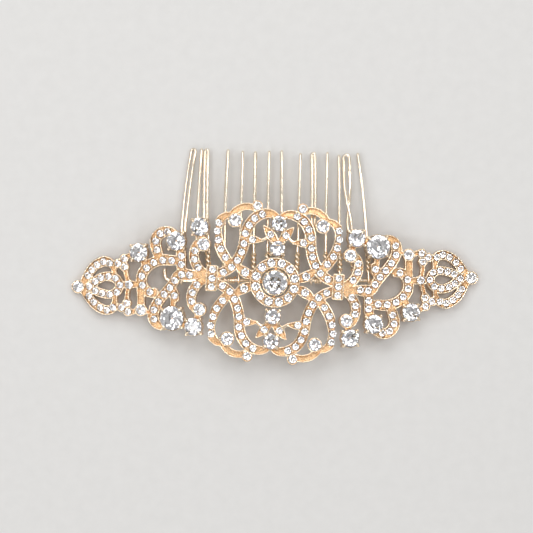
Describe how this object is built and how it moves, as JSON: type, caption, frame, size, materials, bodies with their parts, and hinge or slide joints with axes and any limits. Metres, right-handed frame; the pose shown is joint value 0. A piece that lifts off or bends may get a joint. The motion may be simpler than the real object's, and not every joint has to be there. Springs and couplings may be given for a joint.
{
  "type": "decorative hair comb",
  "caption": "Openwork bridal hair comb of three gold-plated castings set with clear crystals, soldered to a twisted wire comb.",
  "frame": {"origin": "middle of the footprint, on the plane that the wings' outer ends rest on", "axes": "+X along the comb's length, +Y from the castings towards the tips of the tines, +Z out of the jewelled face"},
  "size_m": [0.1156, 0.0614, 0.0116],
  "materials": {
    "plated_casting": "bright gold-plated casting, slightly rosy",
    "plated_wire": "bright gold-plated drawn wire",
    "solder": "plated solder, soft sheen",
    "crystal": "clear foil-backed cut crystal"
  },
  "bodies": {
    "root": {"centre_panel": "plated_casting", "rosette": "plated_casting", "left_wing": "plated_casting", "right_wing": "plated_casting", "left_bar": "plated_casting", "right_bar": "plated_casting", "comb_rail": "plated_wire", "tine_01": "plated_wire", "tine_02": "plated_wire", "tine_03": "plated_wire", "tine_04": "plated_wire", "tine_05": "plated_wire", "tine_06": "plated_wire", "tine_07": "plated_wire", "tine_08": "plated_wire", "tine_09": "plated_wire", "tine_10": "plated_wire", "tine_11": "plated_wire", "tine_12": "plated_wire", "tine_13": "plated_wire", "tine_14": "plated_wire", "binding_coils": "plated_wire", "solder_pads": "solder", "panel_small_crystals": "crystal", "panel_petal_crystals": "crystal", "panel_crest_crystals": "crystal", "panel_column_crystals": "crystal", "rosette_halo_crystals": "crystal", "centre_crystal": "crystal", "left_wing_small_crystals": "crystal", "left_wing_round_crystals": "crystal", "left_bar_crystals": "crystal", "right_wing_small_crystals": "crystal", "right_wing_round_crystals": "crystal", "right_bar_crystals": "crystal", "left_brow_crystal": "crystal", "left_hook_crystal": "crystal", "left_heart_crystal": "crystal", "left_foot_crystal": "crystal", "left_shoulder_crystal": "crystal", "right_brow_crystal": "crystal", "right_hook_crystal": "crystal", "right_heart_crystal": "crystal", "right_foot_crystal": "crystal", "right_shoulder_crystal": "crystal"}
  },
  "joints": []
}
